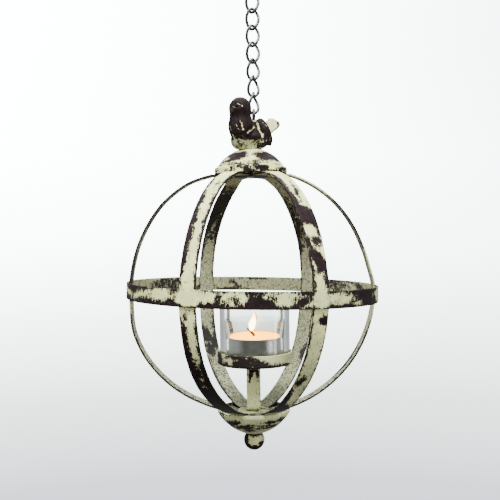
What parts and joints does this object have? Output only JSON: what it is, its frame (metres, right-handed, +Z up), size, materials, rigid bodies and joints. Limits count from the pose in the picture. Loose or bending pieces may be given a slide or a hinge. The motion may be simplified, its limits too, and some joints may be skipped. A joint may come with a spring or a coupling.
{
  "type": "hanging lantern",
  "caption": "Round cage lantern of bent flat strips with a band round the middle, a domed cap with a bird finial, a hanging chain with hook, and a glass cup holding a tealight.",
  "frame": {"origin": "inside of the hook's top bend, where the lantern hangs", "axes": "+Z up along the chain, +X to the right of the front, -Y towards the viewer at the front"},
  "size_m": [0.1782, 0.178, 0.3518],
  "materials": {
    "painted_iron": "distressed cream chalk paint over dark plum-brown metal",
    "chain_steel": "bright nickel plate",
    "zinc_steel": "dull zinc",
    "cup_glass": "clear, slightly green",
    "tin_aluminium": "thin pressed foil",
    "candle_wax": "warm white wax",
    "wick_cotton": "burnt cotton"
  },
  "bodies": {
    "hook": {"top_hook": "chain_steel"},
    "link_1": {"chain_link_1": "chain_steel"},
    "link_2": {"chain_link_2": "chain_steel"},
    "link_3": {"chain_link_3": "chain_steel"},
    "link_4": {"chain_link_4": "chain_steel"},
    "link_5": {"chain_link_5": "chain_steel"},
    "link_6": {"chain_link_6": "chain_steel"},
    "link_7": {"chain_link_7": "chain_steel"},
    "lantern": {"rib_front_left": "painted_iron", "rib_front_right": "painted_iron", "rib_right": "painted_iron", "rib_back_right": "painted_iron", "rib_back_left": "painted_iron", "rib_left": "painted_iron", "equator_ring": "painted_iron", "upper_hub": "painted_iron", "lower_hub": "painted_iron", "top_cap": "painted_iron", "bottom_bowl": "painted_iron", "ball_finial": "painted_iron", "bottom_stud": "zinc_steel", "stem_nut": "zinc_steel", "holder_stem": "painted_iron", "candle_dish": "painted_iron", "dish_rivet": "zinc_steel", "bird_finial": "painted_iron", "finial_stud": "zinc_steel", "chain_eye": "chain_steel"},
    "glass": {"glass_cup": "cup_glass"},
    "tealight": {"tealight_tin": "tin_aluminium", "tealight_wax": "candle_wax", "tealight_wick": "wick_cotton", "wick_tab": "zinc_steel"}
  },
  "joints": [
    {"name": "link_1_swing", "type": "hinge", "parent": "hook", "child": "link_1", "pos_m": [0, 0, -0.02502], "axis": [0.7071, -0.7071, 0], "range_deg": [-25, 25]},
    {"name": "link_2_swing", "type": "hinge", "parent": "link_1", "child": "link_2", "pos_m": [0, 0, -0.03467], "axis": [0.7071, 0.7071, 0], "range_deg": [-25, 25]},
    {"name": "link_3_swing", "type": "hinge", "parent": "link_2", "child": "link_3", "pos_m": [0, 0, -0.04867], "axis": [0.7071, -0.7071, 0], "range_deg": [-25, 25]},
    {"name": "chain_twist", "type": "hinge", "parent": "link_3", "child": "link_4", "pos_m": [0, 0, -0.05857], "axis": [0, 0, 1], "range_deg": [-30, 30]},
    {"name": "link_5_swing", "type": "hinge", "parent": "link_4", "child": "link_5", "pos_m": [0, 0, -0.07052], "axis": [0.5446, 0.8387, 0], "range_deg": [-25, 25]},
    {"name": "link_6_swing", "type": "hinge", "parent": "link_5", "child": "link_6", "pos_m": [0, 0, -0.08452], "axis": [0.8387, -0.5446, 0], "range_deg": [-25, 25]},
    {"name": "link_7_swing", "type": "hinge", "parent": "link_6", "child": "link_7", "pos_m": [0, 0, -0.09442], "axis": [0.2924, 0.9563, 0], "range_deg": [-25, 25]},
    {"name": "lantern_swing", "type": "hinge", "parent": "link_7", "child": "lantern", "pos_m": [0, 0, -0.10842], "axis": [0.9563, -0.2924, 0], "range_deg": [-12, 30]},
    {"name": "glass_lift", "type": "slide", "parent": "lantern", "child": "glass", "axis": [0, 0, 1], "range_m": [0, 0.052]},
    {"name": "tealight_lift", "type": "slide", "parent": "glass", "child": "tealight", "axis": [0, 0, 1], "range_m": [0, 0.041]}
  ]
}
